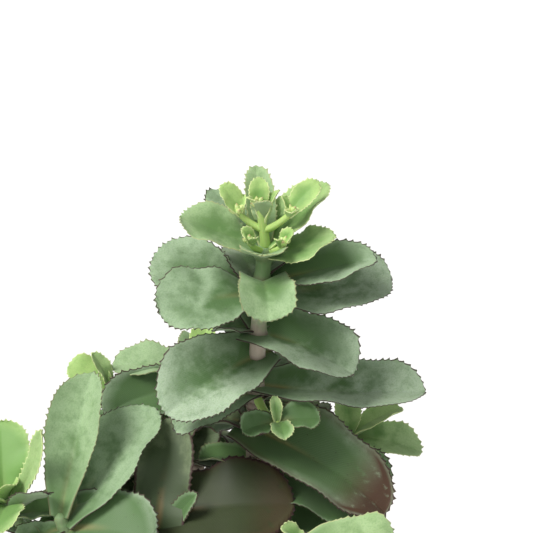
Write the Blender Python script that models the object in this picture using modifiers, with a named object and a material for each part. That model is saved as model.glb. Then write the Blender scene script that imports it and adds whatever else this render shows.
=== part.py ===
"""A potted garden sedum: a clay pot, its soil, and eight leafy stems with toothed fleshy leaves."""

import math

import bmesh
import bpy
import numpy as np

# Pot and soil, in metres
POT_HEIGHT = 0.130
POT_TOP_RADIUS = 0.080
POT_BASE_RADIUS = 0.056
POT_WALL = 0.006
POT_FLOOR = 0.008
COLLAR_HEIGHT = 0.030
COLLAR_STEP = 0.004
EDGE_RADIUS = 0.0018
EDGE_STEPS = 2
TURN_STEPS = 36
DRAIN_RADIUS = 0.004
DRAIN_CIRCLE = 0.024
DRAIN_COUNT = 3
SOIL_TOP = 0.118
GAP = 0.0003
CUTTER_SIDES = 16
MERGE_DISTANCE = 1e-6

# Stems and leaves, in metres
ROOTED = 0.034
STEM_POINTS = 9
UPRIGHT_SHARE = 0.3
LEAF_THICKNESS = 0.0028
FULL_THICKNESS_FROM = 0.05
LEAST_THICKNESS = 0.5
TIP_THINNING = 0.55
TOOTH = 0.0011
TOOTHED_FROM = 0.2
TOOTHED_FULLY = 0.4
NECK_POWER = 1.1
TIP_POWER = 2.5
LEAF_SET_OUT = 0.2
LEAF_RINGS = ((0.034, 12), (0.022, 8), (0.0, 6))
TIP_CROWDING = 1.6
FINE_POINTS = 65
BRANCH_POINTS = 5
BUD_RADIUS = 0.0024
BUD_STRETCH = 1.25
GOLDEN_ANGLE = math.radians(137.5)

PLANT = "potted_sedum"


def leaf(place, az, pitch, length, width, **more):
    """One leaf: its height on the stem, which way it points, and how it bends, in metres and degrees."""
    row = dict(place=place, az=az, pitch=pitch, length=length, width=width)
    row.update(droop=25, roll=0, fold=15, cup=20, sweep=0, twist=0, widest=0.58, neck=0.36, start=0)
    row.update(more)
    return row


# The tall stem in the middle: its crown first, then node by node down to the soil
MAIN_LEAVES = [
    leaf(0.361, 172, 22, 0.049, 0.034, droop=-4, roll=-14, fold=8, widest=0.68),
    leaf(0.360, 351, 20, 0.040, 0.028, droop=-30, roll=14, fold=4, cup=10, widest=0.45),
    leaf(0.359, 268, 24, 0.028, 0.027, droop=0, fold=8),
    leaf(0.363, 99, 46, 0.049, 0.019, droop=10, widest=0.5),
    leaf(0.363, 31, 37, 0.049, 0.033, droop=0, fold=10),
    leaf(0.362, 124, 18, 0.056, 0.026, droop=0, fold=8),
    leaf(0.331, 161, 15, 0.065, 0.041, droop=4, roll=-27, fold=5, cup=10, widest=0.74, neck=0.1),
    leaf(0.333, 200, 0, 0.058, 0.046, roll=-22, twist=-22, fold=4, cup=14, neck=0.3),
    leaf(0.341, 275, -2, 0.046, 0.033, droop=80, widest=0.82, neck=0.80),
    leaf(0.340, 358, 15, 0.064, 0.034, droop=6, roll=16, fold=16, cup=6),
    leaf(0.333, 14, 3, 0.075, 0.050, droop=-8, roll=30),
    leaf(0.308, 335, -11, 0.067, 0.046, droop=35, roll=17, fold=24, cup=6, neck=0.6, start=-0.008),
    leaf(0.334, 108, 10, 0.048, 0.030),
    leaf(0.310, 165, -4, 0.026, 0.024),
    leaf(0.310, 95, 5, 0.062, 0.040),
    leaf(0.294, 216, -13, 0.073, 0.054, roll=-24, fold=21, cup=8, neck=0.42, start=-0.010),
    leaf(0.275, 357, 0, 0.099, 0.044, droop=-16, roll=15, fold=23, cup=8, neck=0.5, start=-0.003),
    leaf(0.290, 100, 5, 0.062, 0.042),
    leaf(0.270, 205, -14, 0.054, 0.031, roll=-14, fold=21, cup=6, start=-0.003),
    leaf(0.266, 50, -4, 0.064, 0.040),
    leaf(0.262, 128, 0, 0.044, 0.036),
    leaf(0.246, 335, -20, 0.100, 0.056, roll=17, fold=20, cup=8, widest=0.5, neck=0.66, start=-0.011),
    leaf(0.246, 152, -5, 0.040, 0.034),
    leaf(0.224, 183, 4, 0.032, 0.022),
    leaf(0.217, 349, -12, 0.084, 0.066, roll=22, neck=0.75, start=-0.004),
    leaf(0.222, 105, -5, 0.040, 0.032),
    leaf(0.236, 50, -2, 0.062, 0.040),
    leaf(0.246, 88, 4, 0.030, 0.030),
    leaf(0.346, 52, 8, 0.040, 0.026),
    leaf(0.188, 275, -25, 0.046, 0.038),
    leaf(0.186, 75, -20, 0.044, 0.036),
    leaf(0.200, 345, -15, 0.070, 0.052, roll=20, neck=0.75),
]

# Side shoots and the flower head of the tall stem; a leaf's place on them is its share of their length
MAIN_BRANCHES = [
    dict(
        start=(0.031, 0.004, 0.270),
        bend=(0.036, -0.010, 0.262),
        top=(0.044, -0.021, 0.264),
        radius=(0.0028, 0.0018),
        leaves=[
            leaf(0.92, 200, -5, 0.020, 0.021, roll=-20),
            leaf(0.92, 5, 2, 0.025, 0.023, roll=20),
            leaf(0.98, 285, -5, 0.016, 0.014, droop=60),
            leaf(0.96, 110, 70, 0.016, 0.008),
        ],
        buds=0,
    ),
    dict(
        start=(0.037, 0.000, 0.364),
        bend=(0.036, 0.000, 0.378),
        top=(0.0325, -0.001, 0.389),
        radius=(0.0030, 0.0018),
        leaves=[
            leaf(0.80, 95, 66, 0.019, 0.0115, droop=0, fold=4),
            leaf(0.62, 272, 70, 0.0135, 0.0125, fold=0, cup=22, neck=0.6),
            leaf(0.55, 140, 62, 0.018, 0.009),
            leaf(0.45, 25, 66, 0.022, 0.008),
            leaf(0.90, 205, 50, 0.010, 0.006),
        ],
        buds=5,
    ),
    dict(
        start=(0.036, 0.000, 0.374),
        bend=(0.043, -0.003, 0.377),
        top=(0.051, -0.004, 0.386),
        radius=(0.0022, 0.0016),
        leaves=[
            leaf(0.86, 22, 43, 0.025, 0.0135, fold=5, roll=40),
            leaf(0.92, 150, 66, 0.011, 0.006),
            leaf(0.90, 280, 30, 0.010, 0.007),
        ],
        buds=4,
    ),
    dict(
        start=(0.036, 0.000, 0.374),
        bend=(0.028, 0.001, 0.377),
        top=(0.022, 0.001, 0.384),
        radius=(0.0022, 0.0015),
        leaves=[
            leaf(0.86, 166, 57, 0.020, 0.0125, fold=8, roll=-42),
            leaf(0.90, 60, 65, 0.011, 0.006),
        ],
        buds=4,
    ),
    dict(
        start=(0.037, 0.000, 0.361),
        bend=(0.032, -0.006, 0.364),
        top=(0.028, -0.008, 0.370),
        radius=(0.0020, 0.0014),
        leaves=[leaf(0.80, 195, 62, 0.0120, 0.0090, roll=-50), leaf(0.80, 290, 50, 0.009, 0.006)],
        buds=3,
    ),
    dict(
        start=(0.037, 0.000, 0.361),
        bend=(0.043, -0.006, 0.363),
        top=(0.047, -0.008, 0.369),
        radius=(0.0020, 0.0014),
        leaves=[leaf(0.80, 350, 58, 0.0125, 0.0090, roll=45), leaf(0.80, 250, 50, 0.009, 0.006)],
        buds=3,
    ),
]

STEMS = {
    "stem_main": dict(
        foot=(0.030, 0.004),
        bend=(0.029, 0.006, 0.280),
        top=(0.037, 0.000, 0.366),
        radius=(0.0055, 0.0042),
        leaves=MAIN_LEAVES,
        branches=MAIN_BRANCHES,
    ),
    "stem_left": dict(
        foot=(-0.024, -0.020),
        bend=(-0.074, -0.036, 0.170),
        top=(-0.081, -0.031, 0.211),
        radius=(0.0048, 0.0034),
        leaves=[
            leaf(0.208, 73, 52, 0.085, 0.038, cup=40, droop=10),
            leaf(0.203, 43, 36, 0.085, 0.054, fold=8, droop=10, widest=0.48),
            leaf(0.200, 336, 10, 0.058, 0.048, roll=35, droop=30, fold=6, cup=10, widest=0.5, neck=0.9),
            leaf(0.200, 200, -10, 0.030, 0.024),
            leaf(0.185, 150, 22, 0.030, 0.032),
            leaf(0.186, 66, 12, 0.048, 0.038),
            leaf(0.174, 260, -10, 0.044, 0.034),
            leaf(0.176, 140, -5, 0.026, 0.024),
        ],
    ),
    "stem_centre_left": dict(
        foot=(-0.002, -0.014),
        bend=(-0.020, -0.032, 0.165),
        top=(-0.024, -0.024, 0.207),
        radius=(0.0048, 0.0036),
        leaves=[
            leaf(0.202, 82, 45, 0.066, 0.034, droop=5, fold=6, cup=12, widest=0.52, neck=0.95, start=-0.010),
            leaf(0.160, 145, 22, 0.070, 0.044, droop=10),
            leaf(0.172, 180, 15, 0.036, 0.032),
            leaf(0.202, 354, 11, 0.082, 0.059, droop=20, roll=21, fold=6, cup=12, neck=0.85, start=-0.004),
            leaf(0.188, 340, 62, 0.043, 0.014, roll=60),
            leaf(0.180, 262, -15, 0.044, 0.034),
            leaf(0.176, 320, -20, 0.044, 0.034),
            leaf(0.188, 288, -8, 0.042, 0.036),
        ],
    ),
    "stem_far_left": dict(
        foot=(-0.044, -0.004),
        bend=(-0.096, -0.020, 0.160),
        top=(-0.115, -0.018, 0.213),
        radius=(0.0042, 0.0030),
        leaves=[
            leaf(0.211, 100, 48, 0.046, 0.036),
            leaf(0.211, 200, 20, 0.046, 0.030),
            leaf(0.213, 320, 50, 0.018, 0.014),
            leaf(0.208, 352, 67, 0.058, 0.013, droop=-40, roll=50, fold=8),
            leaf(0.208, 270, 10, 0.040, 0.030),
            leaf(0.204, 321, 38, 0.042, 0.019, roll=-30, fold=5, cup=10),
            leaf(0.186, 150, 0, 0.040, 0.028),
            leaf(0.184, 235, -5, 0.030, 0.024),
            leaf(0.200, 6, 0, 0.027, 0.028),
        ],
    ),
    "stem_behind": dict(
        foot=(-0.004, 0.032),
        bend=(-0.006, 0.052, 0.220),
        top=(-0.005, 0.046, 0.265),
        radius=(0.0046, 0.0032),
        leaves=[
            leaf(0.260, 170, -2, 0.052, 0.030, roll=-16, widest=0.62),
            leaf(0.250, 201, -7, 0.058, 0.038, roll=-40),
            leaf(0.262, 70, 45, 0.028, 0.018),
            leaf(0.260, 85, 0, 0.044, 0.032),
            leaf(0.236, 25, 0, 0.050, 0.036),
            leaf(0.220, 270, -10, 0.028, 0.034),
            leaf(0.226, 232, -8, 0.038, 0.034),
            leaf(0.234, 115, 0, 0.052, 0.038),
            leaf(0.208, 70, -5, 0.054, 0.038),
            leaf(0.208, 165, -5, 0.034, 0.028),
            leaf(0.180, 130, -10, 0.052, 0.038),
            leaf(0.182, 30, -10, 0.040, 0.032),
            leaf(0.173, 262, -4, 0.040, 0.038),
            leaf(0.199, 345, -2, 0.046, 0.046, neck=0.9, start=-0.012),
        ],
    ),
    "stem_back_left": dict(
        foot=(-0.026, 0.026),
        bend=(-0.048, 0.046, 0.205),
        top=(-0.057, 0.040, 0.255),
        radius=(0.0040, 0.0028),
        leaves=[
            leaf(0.253, 173, 25, 0.028, 0.023, roll=-30),
            leaf(0.251, 150, 60, 0.025, 0.013),
            leaf(0.228, 110, 5, 0.042, 0.030),
            leaf(0.226, 190, 5, 0.040, 0.028),
            leaf(0.200, 150, -5, 0.048, 0.034),
            leaf(0.202, 242, -5, 0.031, 0.026),
            leaf(0.212, 305, -10, 0.036, 0.032),
            leaf(0.192, 262, -6, 0.028, 0.034),
        ],
    ),
    "stem_right": dict(
        foot=(0.052, 0.022),
        bend=(0.080, 0.030, 0.185),
        top=(0.088, 0.024, 0.232),
        radius=(0.0040, 0.0028),
        leaves=[
            leaf(0.227, 350, -7, 0.044, 0.026, roll=20),
            leaf(0.228, 20, 20, 0.036, 0.020),
            leaf(0.229, 100, 50, 0.024, 0.018),
            leaf(0.226, 190, 10, 0.017, 0.014),
            leaf(0.206, 80, 0, 0.044, 0.030),
            leaf(0.204, 10, -10, 0.024, 0.026),
            leaf(0.180, 75, -8, 0.050, 0.034),
            leaf(0.184, 345, -20, 0.040, 0.030),
        ],
    ),
    "stem_front": dict(
        foot=(0.044, -0.030),
        bend=(0.060, -0.052, 0.155),
        top=(0.059, -0.053, 0.206),
        radius=(0.0040, 0.0030),
        leaves=[
            leaf(0.204, 349, 0, 0.049, 0.040, roll=20, widest=0.7),
            leaf(0.202, 168, 44, 0.018, 0.016),
            leaf(0.189, 28, 0, 0.032, 0.020),
            leaf(0.196, 222, 0, 0.034, 0.028),
            leaf(0.178, 290, 0, 0.036, 0.030),
            leaf(0.158, 265, -15, 0.044, 0.034),
            leaf(0.156, 10, -15, 0.044, 0.034),
        ],
    ),
}


def curve_line(foot, bend, top, count):
    """Points up a stem that leaves the soil upright and then leans over."""
    start = np.array([*foot, SOIL_TOP])
    rise = start + np.array([0, 0, UPRIGHT_SHARE * (top[2] - SOIL_TOP)])
    t = np.linspace(0, 1, count)[:, None]
    bend = np.array(bend)
    top = np.array(top)
    return (
        (1 - t) ** 3 * start
        + 3 * (1 - t) ** 2 * t * rise
        + 3 * (1 - t) * t**2 * bend
        + t**3 * top
    )


def stem_base(stem, height):
    """The point on the stem's middle line at this height."""
    line = curve_line(stem["foot"], stem["bend"], stem["top"], FINE_POINTS)
    return np.array(
        [np.interp(height, line[:, 2], line[:, 0]), np.interp(height, line[:, 2], line[:, 1]), height]
    )


def half_width(s, widest, neck):
    """Share of the widest half-width at s, from the neck at the stem to the blunt tip."""
    rise = neck + (1 - neck) * np.sin(np.clip(s / widest, 0, 1) * math.pi / 2) ** NECK_POWER
    fall = np.clip((s - widest) / (1 - widest), 0, 1) ** TIP_POWER
    return rise * np.sqrt(1 - fall)


def spine(row, base, s):
    """Middle line of a leaf at each s, with the directions across it and out of its upper face."""
    fine = np.linspace(0, 1, FINE_POINTS)
    pitch = np.radians(row["pitch"] + row["droop"] * (0.5 - fine))
    az = np.radians(row["az"] + row["sweep"] * (fine - 0.5))
    along = np.stack([np.cos(pitch) * np.cos(az), np.cos(pitch) * np.sin(az), np.sin(pitch)], 1)
    steps = (along[1:] + along[:-1]) / 2 * row["length"] / (FINE_POINTS - 1)
    walked = np.concatenate([np.zeros((1, 3)), np.cumsum(steps, 0)])
    middle = np.stack([np.interp(s, fine, walked[:, i]) for i in range(3)], 1) + base
    tangent = np.stack([np.interp(s, fine, along[:, i]) for i in range(3)], 1)
    heading = np.interp(s, fine, az)
    flat = np.stack([-np.sin(heading), np.cos(heading), np.zeros(len(s))], 1)
    up = np.cross(tangent, flat)
    roll = np.radians(row["roll"] + row["twist"] * (s - 0.5))[:, None]
    across = np.cos(roll) * flat + np.sin(roll) * up
    out = np.cos(roll) * up - np.sin(roll) * flat
    return middle, across, out


def leaf_points(row, base, rings):
    """Ring by ring, the leaf's margins, its upper midline and its lower midline."""
    s = 1 - (1 - np.arange(rings + 1) / rings) ** TIP_CROWDING
    middle, across, out = spine(row, base, s)
    half = row["width"] / 2 * half_width(s, row["widest"], row["neck"])
    toothed = np.where(np.arange(rings + 1) % 2 == 1, 0.5, -0.5) * TOOTH
    share = np.clip((s - TOOTHED_FROM) / (TOOTHED_FULLY - TOOTHED_FROM), 0, 1)
    half = half + toothed * share * (half > 3 * TOOTH)
    lean = np.radians(row["fold"] + row["cup"] / 2)
    rise = (half * np.sin(lean))[:, None] * out
    grown = min(1.0, row["length"] / FULL_THICKNESS_FROM)
    thick = LEAF_THICKNESS * (LEAST_THICKNESS + (1 - LEAST_THICKNESS) * grown)
    swell = (thick / 2 * (1 - TIP_THINNING * s**2))[:, None] * out
    reach = (half * np.cos(lean))[:, None] * across
    return [middle + reach + rise, middle + swell, middle - reach + rise, middle - swell, middle]


def leaf_object(name, row, base, group):
    """A closed leaf: a four-sided ball drawn out along the leaf's middle line."""
    rings = next(rings for longer_than, rings in LEAF_RINGS if row["length"] > longer_than)
    points = leaf_points(row, base, rings)
    body = bmesh.new()
    bmesh.ops.create_uvsphere(body, u_segments=4, v_segments=rings, radius=1)
    place = {}
    for vert in body.verts:
        ring = round(math.acos(max(-1, min(1, -vert.co.z))) / math.pi * rings)
        side = round(math.atan2(vert.co.y, vert.co.x) / (math.pi / 2)) % 4
        place[vert] = (ring, 4 if ring in (0, rings) else side)
    for vert, (ring, side) in place.items():
        vert.co = points[side][ring]
    for face in list(body.faces):
        if len(face.verts) != 4:
            continue
        low = min(place[vert][0] for vert in face.verts)
        margin = next(v for v in face.verts if place[v][0] == low and place[v][1] % 2 == 0)
        midline = next(v for v in face.verts if place[v][0] == low + 1 and place[v][1] % 2 == 1)
        bmesh.utils.face_split(face, margin, midline)
    return mesh_object(name, body, group)


def mesh_object(name, body, group):
    mesh = bpy.data.meshes.new(name)
    body.to_mesh(mesh)
    body.free()
    made = bpy.data.objects.new(name, mesh)
    group.objects.link(made)
    return made


def tube_object(name, points, radii, group):
    """A closed tube along the points, made as a curve and turned into a mesh."""
    curve = bpy.data.curves.new(name, "CURVE")
    curve.dimensions = "3D"
    curve.bevel_depth = 1
    curve.bevel_resolution = 2
    curve.use_fill_caps = True
    spline = curve.splines.new("POLY")
    spline.points.add(len(points) - 1)
    for point, place, radius in zip(spline.points, points, radii):
        point.co = (*place, 1)
        point.radius = radius
    guide = bpy.data.objects.new(name, curve)
    group.objects.link(guide)
    bpy.context.view_layer.update()
    evaluated = guide.evaluated_get(bpy.context.evaluated_depsgraph_get())
    mesh = bpy.data.meshes.new_from_object(evaluated)
    bpy.data.objects.remove(guide)
    bpy.data.curves.remove(curve)
    body = bmesh.new()
    body.from_mesh(mesh)
    bpy.data.meshes.remove(mesh)
    bmesh.ops.remove_doubles(body, verts=body.verts, dist=MERGE_DISTANCE)
    bmesh.ops.recalc_face_normals(body, faces=body.faces)
    return mesh_object(name, body, group)


def join_all(base, helpers):
    """The base with every object of the helper collection fused into it."""
    union = base.modifiers.new("fuse", "BOOLEAN")
    union.operation = "UNION"
    union.operand_type = "COLLECTION"
    union.collection = helpers
    union.solver = "MANIFOLD"
    bpy.context.view_layer.update()
    evaluated = base.evaluated_get(bpy.context.evaluated_depsgraph_get())
    fused = bpy.data.meshes.new_from_object(evaluated)
    base.modifiers.clear()
    base.data = fused
    for helper in list(helpers.objects):
        bpy.data.objects.remove(helper)


def branch_line(branch, count):
    t = np.linspace(0, 1, count)[:, None]
    start, bend, top = (np.array(branch[end]) for end in ("start", "bend", "top"))
    return (1 - t) ** 2 * start + 2 * (1 - t) * t * bend + t**2 * top


def branch_base(branch, share):
    """The point on the branch's middle line at this share of its length."""
    line = branch_line(branch, FINE_POINTS)
    shares = np.linspace(0, 1, FINE_POINTS)
    return np.array([np.interp(share, shares, line[:, i]) for i in range(3)])


def bud_object(name, place, helpers):
    """A small closed bud, a little longer than wide."""
    body = bmesh.new()
    bmesh.ops.create_icosphere(body, subdivisions=1, radius=BUD_RADIUS)
    bmesh.ops.scale(body, verts=body.verts, vec=(1, 1, BUD_STRETCH))
    bmesh.ops.translate(body, verts=body.verts, vec=tuple(place))
    return mesh_object(name, body, helpers)


def branch_objects(name, branch, helpers):
    """A side shoot or flower stalk, its leaves, and the buds round its end."""
    low, high = branch["radius"]
    line = branch_line(branch, BRANCH_POINTS)
    tube_object(name, line, np.linspace(low, high, BRANCH_POINTS), helpers)
    for number, row in enumerate(branch["leaves"]):
        leaf_object(f"{name}_leaf_{number}", row, branch_base(branch, row["place"]), helpers)
    for number in range(branch["buds"]):
        turn = number * GOLDEN_ANGLE
        out = BUD_RADIUS * min(number, 1)
        place = np.array(branch["top"]) + (out * math.cos(turn), out * math.sin(turn), out / 2)
        bud_object(f"{name}_bud_{number}", place, helpers)


def leafy_stem(name, stem, parts, helpers):
    """A stem with all its leaves as one body."""
    line = curve_line(stem["foot"], stem["bend"], stem["top"], STEM_POINTS)
    rooted = np.array([[*stem["foot"], SOIL_TOP - ROOTED]])
    line = np.concatenate([rooted, line])
    low, high = stem["radius"]
    share = np.clip((line[:, 2] - SOIL_TOP) / (stem["top"][2] - SOIL_TOP), 0, 1)
    made = tube_object(name, line, low + (high - low) * share, parts)
    for number, row in enumerate(stem["leaves"]):
        base = stem_base(stem, row["place"])
        heading = math.radians(row["az"])
        away = LEAF_SET_OUT * high + row["start"]
        base = base + away * np.array([math.cos(heading), math.sin(heading), 0])
        leaf_object(f"{name}_leaf_{number}", row, base, helpers)
    for number, branch in enumerate(stem.get("branches", ())):
        branch_objects(f"{name}_branch_{number}", branch, helpers)
    join_all(made, helpers)
    return made


def turned(name, profile, group):
    """A round body: the profile turned about the upright axis."""
    mesh = bpy.data.meshes.new(name)
    edges = [(i, i + 1) for i in range(len(profile) - 1)]
    mesh.from_pydata([(x, 0, z) for x, z in profile], edges, [])
    made = bpy.data.objects.new(name, mesh)
    group.objects.link(made)
    screw = made.modifiers.new("turn", "SCREW")
    screw.steps = TURN_STEPS
    screw.render_steps = TURN_STEPS
    screw.use_merge_vertices = True
    screw.merge_threshold = MERGE_DISTANCE
    return made


def rounded(corners):
    """The profile with each of its inner corners replaced by a short arc."""
    points = [corners[0]]
    for before, corner, after in zip(corners, corners[1:], corners[2:]):
        before, corner, after = (np.array(p) for p in (before, corner, after))
        back = (before - corner) / np.linalg.norm(before - corner)
        on = (after - corner) / np.linalg.norm(after - corner)
        for step in range(EDGE_STEPS + 1):
            t = step / EDGE_STEPS
            a = corner + back * EDGE_RADIUS * (1 - t)
            b = corner + on * EDGE_RADIUS * t
            points.append(tuple(a * (1 - t) + b * t))
    points.append(corners[-1])
    return points


def cylinder_cutter(name, x, y, radius, low, high, group):
    body = bmesh.new()
    bmesh.ops.create_cone(
        body, cap_ends=True, segments=CUTTER_SIDES, radius1=radius, radius2=radius, depth=high - low
    )
    bmesh.ops.translate(body, verts=body.verts, vec=(x, y, (low + high) / 2))
    made = mesh_object(name, body, group)
    made.hide_render = True
    made.display_type = "WIRE"
    return made


def cut_all(base, cutters):
    cut = base.modifiers.new("holes", "BOOLEAN")
    cut.operation = "DIFFERENCE"
    cut.operand_type = "COLLECTION"
    cut.collection = cutters
    cut.solver = "EXACT"


def outer_radius(height):
    """The pot's outer radius below its collar, at this height."""
    return POT_BASE_RADIUS + (POT_TOP_RADIUS - COLLAR_STEP - POT_BASE_RADIUS) * height / POT_HEIGHT


def pot(parts, cutters):
    under_collar = POT_HEIGHT - COLLAR_HEIGHT
    inner_top = outer_radius(POT_HEIGHT) - POT_WALL
    inner_low = outer_radius(POT_FLOOR) - POT_WALL
    made = turned(
        "pot",
        rounded(
            [
                (0, POT_FLOOR),
                (inner_low, POT_FLOOR),
                (inner_top, POT_HEIGHT),
                (POT_TOP_RADIUS, POT_HEIGHT),
                (outer_radius(under_collar) + COLLAR_STEP, under_collar),
                (outer_radius(under_collar), under_collar),
                (POT_BASE_RADIUS, 0),
                (0, 0),
            ]
        ),
        parts,
    )
    for number in range(DRAIN_COUNT):
        angle = 2 * math.pi * number / DRAIN_COUNT
        x = DRAIN_CIRCLE * math.cos(angle)
        y = DRAIN_CIRCLE * math.sin(angle)
        cylinder_cutter(f"drain_{number}", x, y, DRAIN_RADIUS, -POT_FLOOR, 2 * POT_FLOOR, cutters)
    cut_all(made, cutters)
    return made


def soil(parts, cutters):
    """The soil plug, with a plain hole for each stem."""
    low = POT_FLOOR + GAP
    side = POT_WALL + GAP
    made = turned(
        "soil",
        [
            (0, SOIL_TOP),
            (outer_radius(SOIL_TOP) - side, SOIL_TOP),
            (outer_radius(low + EDGE_RADIUS) - side, low + EDGE_RADIUS),
            (outer_radius(low) - side - EDGE_RADIUS, low),
            (0, low),
        ],
        parts,
    )
    for name, stem in STEMS.items():
        x, y = stem["foot"]
        radius = stem["radius"][0] + 2 * GAP
        cylinder_cutter(f"{name}_hole", x, y, radius, SOIL_TOP - ROOTED - GAP, SOIL_TOP + ROOTED, cutters)
    cut_all(made, cutters)
    return made


def paint(made, colour, roughness):
    material = bpy.data.materials.new(made.name)
    material.use_nodes = True
    shader = material.node_tree.nodes["Principled BSDF"]
    shader.inputs["Base Color"].default_value = (*colour, 1)
    shader.inputs["Roughness"].default_value = roughness
    shader.inputs["Metallic"].default_value = 0
    material.diffuse_color = (*colour, 1)
    made.data.materials.clear()
    made.data.materials.append(material)


def collection(name):
    made = bpy.data.collections.new(name)
    bpy.context.scene.collection.children.link(made)
    return made


def main():
    for old in list(bpy.data.objects):
        bpy.data.objects.remove(old)
    parts = collection(PLANT)
    helpers = collection("helpers")
    paint(pot(parts, collection("drain_cutters")), (0.55, 0.25, 0.15), 0.85)
    paint(soil(parts, collection("soil_cutters")), (0.06, 0.04, 0.03), 0.95)
    for name, stem in STEMS.items():
        paint(leafy_stem(name, stem, parts, helpers), (0.22, 0.36, 0.20), 0.5)
    bpy.data.collections.remove(helpers)


if __name__ == "__main__":
    main()
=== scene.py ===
"""Dresses the potted sedum: fine toothed leaves, stems, buds, soil and pot round the solid model, on a pale stage."""

import math

import bmesh
import bpy
import numpy as np
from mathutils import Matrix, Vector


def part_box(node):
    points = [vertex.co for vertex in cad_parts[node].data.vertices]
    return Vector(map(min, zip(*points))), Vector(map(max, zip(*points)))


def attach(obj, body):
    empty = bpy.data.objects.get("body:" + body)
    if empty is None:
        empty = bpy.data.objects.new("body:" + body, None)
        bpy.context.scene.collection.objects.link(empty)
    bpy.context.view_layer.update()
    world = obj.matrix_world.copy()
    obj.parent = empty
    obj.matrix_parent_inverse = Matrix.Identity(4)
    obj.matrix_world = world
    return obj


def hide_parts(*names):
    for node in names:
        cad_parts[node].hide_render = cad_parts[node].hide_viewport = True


bl_info = {
    "name": "Potted Sedum",
    "version": (1, 0, 0),
    "blender": (4, 5, 0),
    "location": "View3D > Sidebar > Sedum",
    "description": "Builds a potted garden sedum with fleshy toothed leaves",
    "category": "Object",
}

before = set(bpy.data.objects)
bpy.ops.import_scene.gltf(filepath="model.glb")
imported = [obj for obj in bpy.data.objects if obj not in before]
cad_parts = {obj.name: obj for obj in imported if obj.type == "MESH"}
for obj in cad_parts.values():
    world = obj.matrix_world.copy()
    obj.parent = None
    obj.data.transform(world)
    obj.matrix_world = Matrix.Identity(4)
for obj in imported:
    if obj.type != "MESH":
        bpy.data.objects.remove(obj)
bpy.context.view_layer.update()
SOIL_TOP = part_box("soil")[1].z
POT_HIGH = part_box("pot")[1]

TOOTHED_FROM = 0.2
TIP_END = 0.9998
# Along each tooth from valley to valley: share of its length, share of its depth
TOOTH_ROWS = np.array([(0, 0), (0.42, 0.30), (0.74, 1.0), (0.86, 0.35)])
COLUMNS = np.array([-1, -0.97, -0.88, -0.65, -0.36, -0.07, 0, 0.07, 0.36, 0.65, 0.88, 0.97, 1])
STEM_SIDES = 20
STEM_STEP = 0.0015
GOLDEN_ANGLE = math.radians(137.5)
LEAF, STEM, BUD = range(3)


def leaf(place, az, pitch, length, width, age, **more):
    """One leaf: its height on the stem, which way it points, how it bends and how old it is, in metres and degrees."""
    row = dict(place=place, az=az, pitch=pitch, length=length, width=width, age=age)
    # bloom: how much pale wax the leaf keeps; its listed numbers also paint shade, lower on leaves that lie in the
    # shade of others. paler: painted light and shade, lighter on one half of the leaf and darker on the other, as light
    # falls on it.
    row.update(droop=25, roll=0, fold=15, cup=20, sweep=0, twist=0, widest=0.58, neck=0.36, start=0, blush=0, bloom=0.5, paler=0)
    row.update(more)
    return row
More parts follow.
